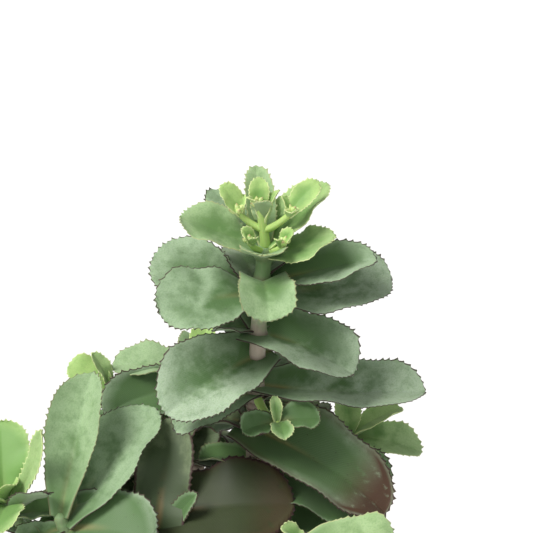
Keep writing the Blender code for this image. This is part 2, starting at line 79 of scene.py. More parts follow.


# The tall stem in the middle: its crown first, then node by node down to the soil
# Their bloom and paler numbers also paint shade and light on single leaves.
MAIN_LEAVES = [
    leaf(0.361, 172, 22, 0.049, 0.034, 0.34, droop=-4, roll=-14, fold=8, widest=0.68),
    leaf(0.360, 351, 20, 0.040, 0.028, 0.26, droop=-30, roll=14, fold=4, cup=10, widest=0.45),
    leaf(0.359, 268, 24, 0.028, 0.027, 0.36, droop=0, fold=8),
    leaf(0.363, 99, 46, 0.049, 0.019, 0.36, droop=10, widest=0.5),
    leaf(0.363, 31, 37, 0.049, 0.033, 0.24, droop=0, fold=10),
    leaf(0.362, 124, 18, 0.056, 0.026, 0.50, droop=0, fold=8),
    leaf(0.331, 161, 15, 0.065, 0.041, 0.56, droop=4, roll=-27, fold=5, cup=10, widest=0.74, neck=0.1),
    leaf(0.333, 200, 0, 0.058, 0.046, 0.54, roll=-22, twist=-22, fold=4, cup=14, neck=0.3),
    leaf(0.341, 275, -2, 0.046, 0.033, 0.42, droop=80, widest=0.82, neck=0.80),
    leaf(0.340, 358, 15, 0.064, 0.034, 0.58, droop=6, roll=16, fold=16, cup=6, bloom=0.3, paler=-1),
    leaf(0.333, 14, 3, 0.075, 0.050, 0.62, droop=-8, roll=30, bloom=0.65),
    leaf(0.308, 335, -11, 0.067, 0.046, 0.62, droop=35, roll=17, fold=24, cup=6, neck=0.6, start=-0.008, bloom=0.6, paler=-1),
    leaf(0.334, 108, 10, 0.048, 0.030, 0.70),
    leaf(0.310, 165, -4, 0.026, 0.024, 0.70),
    leaf(0.310, 95, 5, 0.062, 0.040, 0.65),
    leaf(0.294, 216, -13, 0.073, 0.054, 0.62, roll=-24, fold=21, cup=8, neck=0.42, start=-0.010, bloom=0.55, paler=0.4),
    leaf(0.275, 357, 0, 0.099, 0.044, 0.66, droop=-16, roll=15, fold=23, cup=8, neck=0.5, start=-0.003, bloom=0.7, paler=-1),
    leaf(0.290, 100, 5, 0.062, 0.042, 0.68),
    leaf(0.270, 205, -14, 0.054, 0.031, 0.56, roll=-14, fold=21, cup=6, start=-0.003, bloom=1.2, paler=1),
    leaf(0.266, 50, -4, 0.064, 0.040, 0.75),
    leaf(0.262, 128, 0, 0.044, 0.036, 0.75),
    leaf(0.246, 335, -20, 0.100, 0.056, 0.68, roll=17, fold=20, cup=8, widest=0.5, neck=0.66, start=-0.011, blush=1, bloom=0.28),
    leaf(0.246, 152, -5, 0.040, 0.034, 0.85),
    leaf(0.224, 183, 4, 0.032, 0.022, 0.44, bloom=-0.2),
    leaf(0.217, 349, -12, 0.084, 0.066, 0.54, roll=22, neck=0.75, start=-0.004, bloom=-0.1),
    leaf(0.222, 105, -5, 0.040, 0.032, 0.85),
    leaf(0.236, 50, -2, 0.062, 0.040, 0.85),
    leaf(0.246, 88, 4, 0.030, 0.030, 0.85),
    leaf(0.346, 52, 8, 0.040, 0.026, 0.70),
    leaf(0.188, 275, -25, 0.046, 0.038, 0.95, blush=0.5),
    leaf(0.186, 75, -20, 0.044, 0.036, 0.95),
    leaf(0.200, 345, -15, 0.070, 0.052, 0.54, roll=20, neck=0.75, bloom=-0.1),
]

# Side shoots and the flower head of the tall stem; a leaf's place on them is its share of their length
MAIN_BRANCHES = [
    dict(
        start=(0.031, 0.004, 0.270),
        bend=(0.036, -0.010, 0.262),
        top=(0.044, -0.021, 0.264),
        radius=(0.0028, 0.0018),
        leaves=[
            leaf(0.92, 200, -5, 0.020, 0.021, 0.48, roll=-20, bloom=-0.2),
            leaf(0.92, 5, 2, 0.025, 0.023, 0.48, roll=20, bloom=-0.2),
            leaf(0.98, 285, -5, 0.016, 0.014, 0.36, droop=60, bloom=0.2),
            leaf(0.96, 110, 70, 0.016, 0.008, 0.30),
        ],
        buds=0,
    ),
    dict(
        start=(0.037, 0.000, 0.364),
        bend=(0.036, 0.000, 0.378),
        top=(0.0325, -0.001, 0.389),
        radius=(0.0030, 0.0018),
        leaves=[
            leaf(0.80, 95, 66, 0.019, 0.0115, 0.14, droop=0, fold=4),
            leaf(0.62, 272, 70, 0.0135, 0.0125, 0.36, fold=0, cup=22, neck=0.6),
            leaf(0.55, 140, 62, 0.018, 0.009, 0.14),
            leaf(0.45, 25, 66, 0.022, 0.008, 0.14),
            leaf(0.90, 205, 50, 0.010, 0.006, 0.10),
        ],
        buds=9,
    ),
    dict(
        start=(0.036, 0.000, 0.374),
        bend=(0.043, -0.003, 0.377),
        top=(0.051, -0.004, 0.386),
        radius=(0.0022, 0.0016),
        leaves=[
            leaf(0.86, 22, 43, 0.025, 0.0135, 0.14, fold=5, roll=40),
            leaf(0.92, 150, 66, 0.011, 0.006, 0.12),
            leaf(0.90, 280, 30, 0.010, 0.007, 0.10),
        ],
        buds=6,
    ),
    dict(
        start=(0.036, 0.000, 0.374),
        bend=(0.028, 0.001, 0.377),
        top=(0.022, 0.001, 0.384),
        radius=(0.0022, 0.0015),
        leaves=[
            leaf(0.86, 166, 57, 0.020, 0.0125, 0.14, fold=8, roll=-42),
            leaf(0.90, 60, 65, 0.011, 0.006, 0.12),
        ],
        buds=6,
    ),
    dict(
        start=(0.037, 0.000, 0.361),
        bend=(0.032, -0.006, 0.364),
        top=(0.028, -0.008, 0.370),
        radius=(0.0020, 0.0014),
        leaves=[leaf(0.80, 195, 62, 0.0120, 0.0090, 0.10, roll=-50), leaf(0.80, 290, 50, 0.009, 0.006, 0.08)],
        buds=5,
    ),
    dict(
        start=(0.037, 0.000, 0.361),
        bend=(0.043, -0.006, 0.363),
        top=(0.047, -0.008, 0.369),
        radius=(0.0020, 0.0014),
        leaves=[leaf(0.80, 350, 58, 0.0125, 0.0090, 0.10, roll=45), leaf(0.80, 250, 50, 0.009, 0.006, 0.08)],
        buds=5,
    ),
]

# Here too the bloom numbers also paint shade on leaves that lie in the shade of others.
STEMS = {
    "stem_main": dict(
        foot=(0.030, 0.004),
        bend=(0.029, 0.006, 0.280),
        top=(0.037, 0.000, 0.366),
        radius=(0.0055, 0.0042),
        leaves=MAIN_LEAVES,
        branches=MAIN_BRANCHES,
    ),
    "stem_left": dict(
        foot=(-0.024, -0.020),
        bend=(-0.074, -0.036, 0.170),
        top=(-0.081, -0.031, 0.211),
        radius=(0.0048, 0.0034),
        leaves=[
            leaf(0.208, 73, 52, 0.085, 0.038, 0.40, cup=40, droop=10, bloom=0.75),
            leaf(0.203, 43, 36, 0.085, 0.054, 0.52, fold=8, droop=10, widest=0.48, bloom=0.75),
            leaf(0.200, 336, 10, 0.058, 0.048, 0.64, roll=35, droop=30, fold=6, cup=10, widest=0.5, neck=0.9, bloom=0.0),
            leaf(0.200, 200, -10, 0.030, 0.024, 0.55),
            leaf(0.185, 150, 22, 0.030, 0.032, 0.40, bloom=0.2),
            leaf(0.186, 66, 12, 0.048, 0.038, 0.85),
            leaf(0.174, 260, -10, 0.044, 0.034, 0.80),
            leaf(0.176, 140, -5, 0.026, 0.024, 0.80),
        ],
    ),
    "stem_centre_left": dict(
        foot=(-0.002, -0.014),
        bend=(-0.020, -0.032, 0.165),
        top=(-0.024, -0.024, 0.207),
        radius=(0.0048, 0.0036),
        leaves=[
            leaf(0.202, 82, 45, 0.066, 0.034, 0.86, droop=5, fold=6, cup=12, widest=0.52, neck=0.95, start=-0.010, bloom=0.3),
            leaf(0.160, 145, 22, 0.070, 0.044, 0.70, droop=10),
            leaf(0.172, 180, 15, 0.036, 0.032, 0.70),
            leaf(0.202, 354, 11, 0.082, 0.059, 1.0, droop=20, roll=21, fold=6, cup=12, neck=0.85, start=-0.004, blush=0.5, bloom=-0.2),
            leaf(0.188, 340, 62, 0.043, 0.014, 0.45, roll=60, bloom=-0.1),
            leaf(0.180, 262, -15, 0.044, 0.034, 0.80),
            leaf(0.176, 320, -20, 0.044, 0.034, 0.85),
            leaf(0.188, 288, -8, 0.042, 0.036, 0.90),
        ],
    ),
    "stem_far_left": dict(
        foot=(-0.044, -0.004),
        bend=(-0.096, -0.020, 0.160),
        top=(-0.115, -0.018, 0.213),
        radius=(0.0042, 0.0030),
        leaves=[
            leaf(0.211, 100, 48, 0.046, 0.036, 0.20, bloom=0.1),
            leaf(0.211, 200, 20, 0.046, 0.030, 0.20, bloom=0.1),
            leaf(0.213, 320, 50, 0.018, 0.014, 0.08),
            leaf(0.208, 352, 67, 0.058, 0.013, 0.30, droop=-40, roll=50, fold=8, bloom=0.9),
            leaf(0.208, 270, 10, 0.040, 0.030, 0.22, bloom=0.3),
            leaf(0.204, 321, 38, 0.042, 0.019, 0.52, roll=-30, fold=5, cup=10, bloom=1),
            leaf(0.186, 150, 0, 0.040, 0.028, 0.60),
            leaf(0.184, 235, -5, 0.030, 0.024, 0.60),
            leaf(0.200, 6, 0, 0.027, 0.028, 0.40, bloom=0.2),
        ],
    ),
    "stem_behind": dict(
        foot=(-0.004, 0.032),
        bend=(-0.006, 0.052, 0.220),
        top=(-0.005, 0.046, 0.265),
        radius=(0.0046, 0.0032),
        leaves=[
            leaf(0.260, 170, -2, 0.052, 0.030, 0.42, roll=-16, widest=0.62, bloom=0.9),
            leaf(0.250, 201, -7, 0.058, 0.038, 0.64, roll=-40, bloom=0.1),
            leaf(0.262, 70, 45, 0.028, 0.018, 0.0),
            leaf(0.260, 85, 0, 0.044, 0.032, 0.40),
            leaf(0.236, 25, 0, 0.050, 0.036, 0.60),
            leaf(0.220, 270, -10, 0.028, 0.034, 0.84),
            leaf(0.226, 232, -8, 0.038, 0.034, 0.84),
            leaf(0.234, 115, 0, 0.052, 0.038, 0.60),
            leaf(0.208, 70, -5, 0.054, 0.038, 0.70),
            leaf(0.208, 165, -5, 0.034, 0.028, 0.70),
            leaf(0.180, 130, -10, 0.052, 0.038, 0.85),
            leaf(0.182, 30, -10, 0.040, 0.032, 0.85),
            leaf(0.173, 262, -4, 0.040, 0.038, 0.90),
            leaf(0.199, 345, -2, 0.046, 0.046, 0.84, neck=0.9, start=-0.012),
        ],
    ),
    "stem_back_left": dict(
        foot=(-0.026, 0.026),
        bend=(-0.048, 0.046, 0.205),
        top=(-0.057, 0.040, 0.255),
        radius=(0.0040, 0.0028),
        leaves=[
            leaf(0.253, 173, 25, 0.028, 0.023, 0.18, roll=-30, bloom=1),
            leaf(0.251, 150, 60, 0.025, 0.013, 0.30, bloom=0.7),
            leaf(0.228, 110, 5, 0.042, 0.030, 0.50),
            leaf(0.226, 190, 5, 0.040, 0.028, 0.50),
            leaf(0.200, 150, -5, 0.048, 0.034, 0.70),
            leaf(0.202, 242, -5, 0.031, 0.026, 0.70),
            leaf(0.212, 305, -10, 0.036, 0.032, 0.80),
            leaf(0.192, 262, -6, 0.028, 0.034, 0.84),
        ],
    ),
    "stem_right": dict(
        foot=(0.052, 0.022),
        bend=(0.080, 0.030, 0.185),
        top=(0.088, 0.024, 0.232),
        radius=(0.0040, 0.0028),
        leaves=[
            leaf(0.227, 350, -7, 0.044, 0.026, 0.34, roll=20, bloom=0.7),
            leaf(0.228, 20, 20, 0.036, 0.020, 0.24, bloom=0.7),
            leaf(0.229, 100, 50, 0.024, 0.018, 0.24),
            leaf(0.226, 190, 10, 0.017, 0.014, 0.30),
            leaf(0.206, 80, 0, 0.044, 0.030, 0.55),
            leaf(0.204, 10, -10, 0.024, 0.026, 0.60),
            leaf(0.180, 75, -8, 0.050, 0.034, 0.75),
            leaf(0.184, 345, -20, 0.040, 0.030, 0.80),
        ],
    ),
    "stem_front": dict(
        foot=(0.044, -0.030),
        bend=(0.060, -0.052, 0.155),
        top=(0.059, -0.053, 0.206),
        radius=(0.0040, 0.0030),
        leaves=[
            leaf(0.204, 349, 0, 0.049, 0.040, 0.34, roll=20, bloom=0.7, widest=0.7),
            leaf(0.202, 168, 44, 0.018, 0.016, 0.26),
            leaf(0.189, 28, 0, 0.032, 0.020, 0.24),
            leaf(0.196, 222, 0, 0.034, 0.028, 0.34),
            leaf(0.178, 290, 0, 0.036, 0.030, 0.30),
            leaf(0.158, 265, -15, 0.044, 0.034, 0.60),
            leaf(0.156, 10, -15, 0.044, 0.034, 0.60),
        ],
    ),
}


def length_prop(name, description, default):
    return bpy.props.FloatProperty(
        name=name, description=description, default=default, min=0, unit="LENGTH", precision=5
    )


def colour_prop(name, description, default):
    return bpy.props.FloatVectorProperty(
        name=name, description=description, default=default, subtype="COLOR", size=3, min=0, max=1
    )


class SedumLeafSettings(bpy.types.PropertyGroup):
    """The build and colours of the leaves."""

    thickness: length_prop("Thickness", "Thickness in the middle of a large leaf", 0.0028)
    tooth_pitch: length_prop("Tooth pitch", "Distance between the teeth of a large leaf", 0.0038)
    tooth_depth: length_prop("Tooth depth", "How far the teeth of a large leaf stand out", 0.0014)
    wave: bpy.props.FloatProperty(
        name="Wave", description="How far the margins wave, as a share of the half-width", default=0.09
    )
    young_pale: colour_prop("Young, pale", "Where a young leaf is pale", (0.41, 0.58, 0.20))
    young_deep: colour_prop("Young, deep", "Where a young leaf is deep green", (0.20, 0.38, 0.10))
    grown_pale: colour_prop("Grown, pale", "Where a grown leaf keeps its bloom", (0.30, 0.42, 0.25))
    waxy_pale: colour_prop("Waxy, pale", "Where a full-grown leaf keeps its grey bloom", (0.375, 0.470, 0.335))
    grown_deep: colour_prop("Grown, deep", "Where a grown leaf lost its bloom", (0.088, 0.168, 0.060))
    old_pale: colour_prop("Old, pale", "Where an old leaf keeps its bloom", (0.125, 0.160, 0.060))
    old_deep: colour_prop("Old, deep", "Where an old leaf lost its bloom", (0.034, 0.046, 0.017))
    margin_young: colour_prop("Margin, young", "Rim of a young leaf", (0.60, 0.68, 0.32))
    margin_old: colour_prop("Margin, old", "Rim of a grown leaf", (0.048, 0.018, 0.020))
    blush: colour_prop("Blush", "Red that an old leaf takes towards its tip", (0.070, 0.036, 0.020))


class SedumStemSettings(bpy.types.PropertyGroup):
    """The build and colours of the stems."""

    node_swell: bpy.props.FloatProperty(
        name="Node swell", description="How much a stem widens under a leaf", default=0.14
    )
    stalk_colour: colour_prop("Stalks", "Flower stalks", (0.42, 0.60, 0.17))
    tip_colour: colour_prop("Tip", "Stem near its tip", (0.24, 0.38, 0.17))
    foot_colour: colour_prop("Foot", "Stem near the soil", (0.54, 0.45, 0.37))
    scar_colour: colour_prop("Scars", "Marks of fallen leaves", (0.10, 0.065, 0.045))
    bud_colour: colour_prop("Buds", "Flower buds", (0.58, 0.70, 0.28))
    bud_tip_colour: colour_prop("Bud tips", "Tips of the flower buds", (0.34, 0.20, 0.12))


class SedumPotSettings(bpy.types.PropertyGroup):
    """The finish of the pot and the soil."""

    wall: length_prop("Wall", "Thickness of the pot's wall", 0.006)
    floor: length_prop("Floor", "Thickness of the pot's floor", 0.008)
    collar_height: length_prop("Collar height", "Height of the collar round the rim", 0.030)
    collar_step: length_prop("Collar step", "How far the collar stands out", 0.004)
    base_radius: length_prop("Base radius", "Radius of the pot's base", 0.056)
    edge_radius: length_prop("Edge radius", "Rounding of the pot's edges", 0.0018)
    clay: colour_prop("Clay", "Fired clay", (0.46, 0.19, 0.10))
    bloom: colour_prop("Lime", "Lime bloom on the clay", (0.62, 0.47, 0.38))
    soil: colour_prop("Soil", "Damp soil", (0.045, 0.030, 0.020))
    crumbs: bpy.props.IntProperty(name="Crumbs", description="Loose crumbs on the soil", default=420)


class SedumStageSettings(bpy.types.PropertyGroup):
    """The camera, the floor and the light."""

    aim: bpy.props.FloatVectorProperty(
        name="Aim", description="Point at the middle of the picture", default=(0.0375, 0, 0.352), unit="LENGTH"
    )
    distance: length_prop("Distance", "From the camera to the aim", 0.80)
    elevation: bpy.props.FloatProperty(
        name="Elevation", description="How far the camera looks down", default=math.radians(25), subtype="ANGLE"
    )
    view_width: length_prop("View width", "Width that the picture shows at the aim", 533 * 0.00055)
    floor_colour: colour_prop("Floor", "Floor and backdrop", (0.84, 0.84, 0.84))


class Value:
    """A shader socket that takes Python's operators and adds the Math nodes for them."""

    def __init__(self, finish, socket):
        self.finish = finish
        self.socket = socket

    def _math(self, operation, *terms):
        settings = dict(operation=operation)
        return self.finish.node("ShaderNodeMath", settings, dict(enumerate(terms)))

    def __add__(self, other):
        return self._math("ADD", self, other)

    def __radd__(self, other):
        return self._math("ADD", other, self)

    def __sub__(self, other):
        return self._math("SUBTRACT", self, other)

    def __rsub__(self, other):
        return self._math("SUBTRACT", other, self)

    def __mul__(self, other):
        return self._math("MULTIPLY", self, other)

    def __rmul__(self, other):
        return self._math("MULTIPLY", other, self)

    def __truediv__(self, other):
        return self._math("DIVIDE", self, other)

    def __pow__(self, other):
        return self._math("POWER", self, other)

    def __abs__(self):
        return self._math("ABSOLUTE", self)

    def fade(self, low, high):
        """0 below low, 1 above high and a soft step between; low above high turns it round."""
        settings = dict(interpolation_type="SMOOTHSTEP", clamp=True)
        if low < high:
            return self.finish.node("ShaderNodeMapRange", settings, {0: self, 1: low, 2: high})
        return 1 - self.finish.node("ShaderNodeMapRange", settings, {0: self, 1: high, 2: low})

    def fraction(self):
        return self._math("FRACT", self)

    def clamp(self):
        return self.finish.node("ShaderNodeClamp", {}, {0: self})


class Finish:
    """A material whose Principled surface is fed by procedural values."""

    def __init__(self, name):
        self.material = bpy.data.materials.new(name)
        self.material.use_nodes = True
        self.tree = self.material.node_tree
        self.surface = self.tree.nodes["Principled BSDF"]

    def node(self, kind, settings, inputs, output=0):
        made = self.tree.nodes.new(kind)
        for name, value in settings.items():
            setattr(made, name, value)
        for key, value in inputs.items():
            self.feed(made.inputs[key], value)
        return Value(self, made.outputs[output])

    def feed(self, socket, value):
        if isinstance(value, Value):
            self.tree.links.new(value.socket, socket)
        elif isinstance(value, (tuple, list)) and len(value) == 3 and socket.type == "RGBA":
            socket.default_value = (*value, 1)
        else:
            socket.default_value = value

    def attribute(self, name):
        """The three numbers that each point of the mesh carries under this name."""
        vector = self.node("ShaderNodeAttribute", dict(attribute_name=name), {}, "Vector")
        return vector, [self.node("ShaderNodeSeparateXYZ", {}, {0: vector}, i) for i in range(3)]

    def object_place(self):
        place = self.node("ShaderNodeTexCoord", {}, {}, "Object")
        return place, [self.node("ShaderNodeSeparateXYZ", {}, {0: place}, i) for i in range(3)]

    def noise(self, place, scale, detail=3, roughness=0.5, distortion=0):
        inputs = dict(Vector=place, Scale=scale, Detail=detail, Roughness=roughness, Distortion=distortion)
        return self.node("ShaderNodeTexNoise", {}, inputs, "Fac")

    def cells(self, place, scale, randomness=1.0):
        """Distance to the nearest of a field of scattered points."""
        inputs = dict(Vector=place, Scale=scale, Randomness=randomness)
        return self.node("ShaderNodeTexVoronoi", {}, inputs, "Distance")

    def mix(self, factor, a, b):
        """From colour a to colour b by the factor."""
        return self.node("ShaderNodeMix", dict(data_type="RGBA"), {0: factor, 6: a, 7: b}, 2)

    def stretch(self, vector, scale):
        return self.node("ShaderNodeVectorMath", dict(operation="MULTIPLY"), {0: vector, 1: scale})

    def bump(self, height, strength, distance):
        self.node_bump = self.node(
            "ShaderNodeBump", {}, dict(Height=height, Strength=strength, Distance=distance), "Normal"
        )
        self.feed(self.surface.inputs["Normal"], self.node_bump)

    def finish(self, colour, roughness, **constants):
        self.feed(self.surface.inputs["Base Color"], colour)
        self.feed(self.surface.inputs["Roughness"], roughness)
        for name, value in constants.items():
            self.surface.inputs[name.replace("_", " ")].default_value = value
        return self.material


def leaf_finish(settings):
    """Waxy leaf: pale bloom, deep green where the wax is worn off and as painted shade towards the base and on one
    half, a dull midrib, and a purple-brown rim when grown.
    """
    made = Finish("sedum_leaf")
    place, (_, across, _) = made.attribute("leaf_place")
    _, (along, side, under) = made.attribute("leaf_share")
    _, (age, blush, rim) = made.attribute("leaf_tone")
    _, (bloom, chance, paler) = made.attribute("leaf_look")
    grown = age.fade(0.10, 0.52)
    old = age.fade(0.62, 0.95)
    full = age.fade(0.30, 0.60)

    broad = made.noise(place, 46, 2, 0.5, 0.6)
    patch = made.noise(place, 170, 3, 0.6)
    fine = made.noise(place, 1100, 3, 0.65)
    streak = made.noise(made.stretch(place, (0.16, 1, 1)), 900, 2, 0.6)
    inner = (1 - ((along - 0.50) / 0.50) ** 2 - (side / 1.05) ** 2).clamp()
    # Where the pale wax gives way to deep green: worn-off wax in broad patches, which also stand for painted soft
    # shadows; the paler number paints one half of the leaf lighter and the other darker, as light falls on it.
    rubbed_and_shade = (broad * 1.9 + patch * 0.6 + 0.5 * inner - 1.05 + (0.5 - bloom) * 1.6 - paler * side * 0.8).fade(0.05, 0.85)
    # Painted shade: each leaf turns deep green towards its base, where the stem and the leaves above shade it.
    rubbed_and_shade = (rubbed_and_shade * (0.15 + 0.95 * inner + (0.5 - bloom).clamp()) + 0.9 * along.fade(0.52, 0.04)).clamp()

    pale = made.mix(grown, settings.young_pale[:], settings.grown_pale[:])
    pale = made.mix(age.fade(0.50, 0.66), pale, settings.waxy_pale[:])
    pale = made.mix(old, pale, settings.old_pale[:])
    deep = made.mix(old, made.mix(grown, settings.young_deep[:], settings.grown_deep[:]), settings.old_deep[:])
    colour = made.mix(rubbed_and_shade, pale, deep)
    colour = made.mix((patch.fade(0.42, 0.72) * 0.32 + fine.fade(0.42, 0.70) * 0.30).clamp(), colour, deep)

    veins = abs((along * 60 - abs(across) * 520 + 1.2 * patch).fraction() - 0.5).fade(0.10, 0.0)
    veins = veins * abs(side).fade(0.95, 0.3) * 0.14
    colour = made.mix(veins, colour, pale)
    crease = abs(across).fade(0.0036, 0.0002)
    midrib = crease * along.fade(0.62, 0.06) * broad.fade(0.36, 0.56) * (0.4 + 0.9 * patch) * (0.5 + 0.6 * chance)
    colour = made.mix((midrib * (0.25 + 0.75 * full)).clamp(), colour, made.mix(old, (0.27, 0.24, 0.10), (0.15, 0.085, 0.03)))
    colour = made.mix(under * 0.5, colour, made.mix(grown, (0.42, 0.55, 0.26), (0.27, 0.33, 0.22)))

    reddened = blush * (along.fade(0.62, 0.90) + rim.fade(0.007, 0.0) * 0.6) * patch.fade(0.16, 0.46)
    colour = made.mix(reddened.clamp(), colour, settings.blush[:])
    spots = made.cells(place, 240).fade(0.15, 0.07) * age.fade(0.55, 0.85) * broad.fade(0.46, 0.60)
    scratch = streak.fade(0.69, 0.76) * full * broad.fade(0.40, 0.62)
    colour = made.mix((spots * 0.7 + scratch * 0.55).clamp(), colour, (0.035, 0.022, 0.014))

    wavy = rim + (patch - 0.5) * 0.0007
    colour = made.mix(wavy.fade(0.0034, 0.0008) * (1 - old) * 0.4, colour, pale)
    line = 0.00040 + 0.00055 * age + 0.0008 * old
    edge = 1 - (wavy / line).fade(0.60, 1.30)
    brown = age.fade(0.28, 0.50)
    colour = made.mix(edge * 0.92, colour, made.mix(brown, settings.margin_young[:], settings.margin_old[:]))

    made.bump(fine * 0.25 + patch * 0.5 - veins * 1.5, 0.35, 0.0006)
    roughness = 0.48 + 0.16 * (1 - rubbed_and_shade) + 0.06 * fine
    return made.finish(
        colour,
        roughness,
        Specular_IOR_Level=0.30,
        Sheen_Weight=0.12,
        Sheen_Roughness=0.45,
        Sheen_Tint=(0.92, 0.97, 0.84, 1),
        Subsurface_Weight=0.08,
        Subsurface_Radius=(0.6, 1.0, 0.3),
        Subsurface_Scale=0.003,
    )


def stem_finish(settings):
    """Stem skin: green at the tip, pinkish grey and scarred lower down."""
    made = Finish("sedum_stem")
    place, _ = made.attribute("leaf_place")
    _, (along, _, scar) = made.attribute("leaf_share")
    _, (age, _, _) = made.attribute("leaf_tone")
    streaks = made.noise(made.stretch(place, (1, 1, 0.25)), 700, 3, 0.6)
    broad = made.noise(place, 90, 3, 0.5)
    bark = (along + (broad - 0.5) * 0.3).fade(0.94, 0.80) * age.fade(0.2, 0.4)
    colour = made.mix(age.fade(0.2, 0.4), settings.stalk_colour[:], settings.tip_colour[:])
    colour = made.mix(bark, colour, settings.foot_colour[:])
    colour = made.mix(streaks.fade(0.45, 0.75) * (0.15 + 0.35 * bark), colour, (0.42, 0.35, 0.29))
    colour = made.mix((scar * (0.5 + broad)).clamp() * (0.35 + 0.65 * bark), colour, settings.scar_colour[:])
    made.bump(streaks + broad * 0.6 - scar * 0.8, 0.5, 0.0005)
    return made.finish(colour, 0.55 + 0.15 * streaks, Subsurface_Weight=0.08, Subsurface_Scale=0.002)


def bud_finish(settings):
    """Small fleshy buds, yellow-green with brownish tips."""
    made = Finish("sedum_bud")
    place, _ = made.attribute("leaf_place")
    _, (along, _, _) = made.attribute("leaf_share")
    _, (age, _, _) = made.attribute("leaf_tone")
    mottle = made.noise(place, 1400, 3, 0.6)
    colour = made.mix(mottle.fade(0.4, 0.7) * 0.4, settings.bud_colour[:], (0.36, 0.52, 0.16))
    tip = (along + (mottle - 0.5) * 0.2).fade(0.72, 0.96) * age
    colour = made.mix(tip, colour, settings.bud_tip_colour[:])
    made.bump(mottle, 0.3, 0.0003)
    return made.finish(colour, 0.45 + 0.1 * mottle, Subsurface_Weight=0.15, Subsurface_Scale=0.002)


def clay_finish(settings):
    """Unglazed fired clay with turning marks, lime bloom and damp low down."""
    made = Finish("fired_clay")
    place, (_, _, height) = made.object_place()
    grain = made.noise(place, 900, 4, 0.65)
    cloud = made.noise(place, 28, 4, 0.6)
    rings = made.noise(made.stretch(place, (4, 4, 420)), 1, 3, 0.6)
    lime = (cloud + 0.35 * (grain - 0.5)).fade(0.52, 0.72)
    rim_lime = height.fade(POT_HIGH.z - 0.012, POT_HIGH.z)
    damp = (height + (cloud - 0.5) * 0.05).fade(0.050, 0.012)
    colour = made.mix(grain.fade(0.35, 0.7) * 0.5, settings.clay[:], (0.36, 0.13, 0.065))
    colour = made.mix((lime * 0.55 + rim_lime * 0.35).clamp(), colour, settings.bloom[:])
    colour = made.mix(damp * 0.45, colour, (0.22, 0.10, 0.06))
    pits = made.cells(place, 420).fade(0.18, 0.05)
    colour = made.mix(pits * 0.35, colour, (0.20, 0.08, 0.045))
    made.bump(grain * 0.4 + rings * 0.7 - pits * 0.8, 0.45, 0.0008)
    return made.finish(colour, 0.86 - 0.18 * damp + 0.08 * grain)


def soil_finish(settings):
    """Dark crumbly soil, paler where the surface dries."""
    made = Finish("potting_soil")
    place, _ = made.object_place()
    grain = made.noise(place, 1100, 5, 0.7)
    cloud = made.noise(place, 90, 4, 0.6)
    colour = made.mix(cloud.fade(0.4, 0.7) * 0.6, settings.soil[:], (0.11, 0.080, 0.058))
    colour = made.mix(grain.fade(0.55, 0.8) * 0.5, colour, (0.19, 0.145, 0.105))
    made.bump(grain + cloud * 0.5, 0.9, 0.0012)
    return made.finish(colour, 0.88 + 0.1 * grain)


def grit_finish():
    """Pale mineral grit and bits of bark in the soil."""
    made = Finish("soil_grit")
    place, _ = made.object_place()
    mottle = made.noise(place, 700, 4, 0.6)
    kind = made.noise(place, 60, 1, 0.5)
    colour = made.mix(kind.fade(0.47, 0.53), (0.55, 0.50, 0.42), (0.12, 0.065, 0.035))
    colour = made.mix(mottle.fade(0.4, 0.75) * 0.5, colour, (0.25, 0.19, 0.14))
    made.bump(mottle, 0.7, 0.0008)
    return made.finish(colour, 0.8 + 0.1 * mottle)


def floor_finish(settings):
    made = Finish("pale_floor")
    place, _ = made.object_place()
    cloud = made.noise(place, 3, 2, 0.5)
    low = tuple(0.985 * c for c in settings.floor_colour)
    return made.finish(made.mix(cloud, settings.floor_colour[:], low), 0.9)


class Skin:
    """Collects the points, faces and carried numbers of many leaves, stems and buds for one mesh."""

    def __init__(self):
        self.points = []
        self.faces = []
        self.finishes = []
        self.carried = {"leaf_place": [], "leaf_share": [], "leaf_tone": [], "leaf_look": []}
        self.count = 0

    def rings(self, rings, finish, place, share, tone, look=(0.5, 0, 0)):
        """A closed body of rings, each a loop of points, with a fan over both ends."""
        rows, sides = rings.shape[:2]
        ring = np.arange(sides)
        start = np.arange(rows - 1)[:, None] * sides + self.count
        after = (ring + 1) % sides
        quads = np.stack([start + ring, start + after, start + sides + after, start + sides + ring], -1)
        self.faces += quads.reshape(-1, 4).tolist()
        first = self.count + rows * sides
        base = self.count + (rows - 1) * sides
        self.faces += [(first, self.count + after[k], self.count + k) for k in ring]
        self.faces += [(first + 1, base + k, base + after[k]) for k in ring]
        self.finishes += [finish] * (quads.size // 4 + 2 * sides)
        looks = np.zeros(rings.shape) + look
        for name, values in zip(self.carried, (place, share, tone, looks)):
            ends = np.stack([values[0].mean(0), values[-1].mean(0)])
            self.carried[name] += [values.reshape(-1, 3), ends]
        self.points += [rings.reshape(-1, 3), np.stack([rings[0].mean(0), rings[-1].mean(0)])]
        self.count += rows * sides + 2

    def to_object(self, name, materials):
        mesh = bpy.data.meshes.new(name)
        mesh.from_pydata(np.concatenate(self.points), [], self.faces)
        for material in materials:
            mesh.materials.append(material)
        mesh.polygons.foreach_set("material_index", self.finishes)
        for label, values in self.carried.items():
            attribute = mesh.attributes.new(label, "FLOAT_VECTOR", "POINT")
            attribute.data.foreach_set("vector", np.concatenate(values).astype(np.float32).ravel())
        mesh.shade_smooth()
        mesh.update()
        made = bpy.data.objects.new(name, mesh)
        bpy.context.scene.collection.objects.link(made)
        return made


def curve_line(stem, count):
    """Points up a stem that leaves the soil upright and then leans over."""
    start = np.array([*stem["foot"], SOIL_TOP])
    top = np.array(stem["top"])
    rise = start + np.array([0, 0, 0.3 * (top[2] - SOIL_TOP)])
    bend = np.array(stem["bend"])
    t = np.linspace(0, 1, count)[:, None]
    return (1 - t) ** 3 * start + 3 * (1 - t) ** 2 * t * rise + 3 * (1 - t) * t**2 * bend + t**3 * top


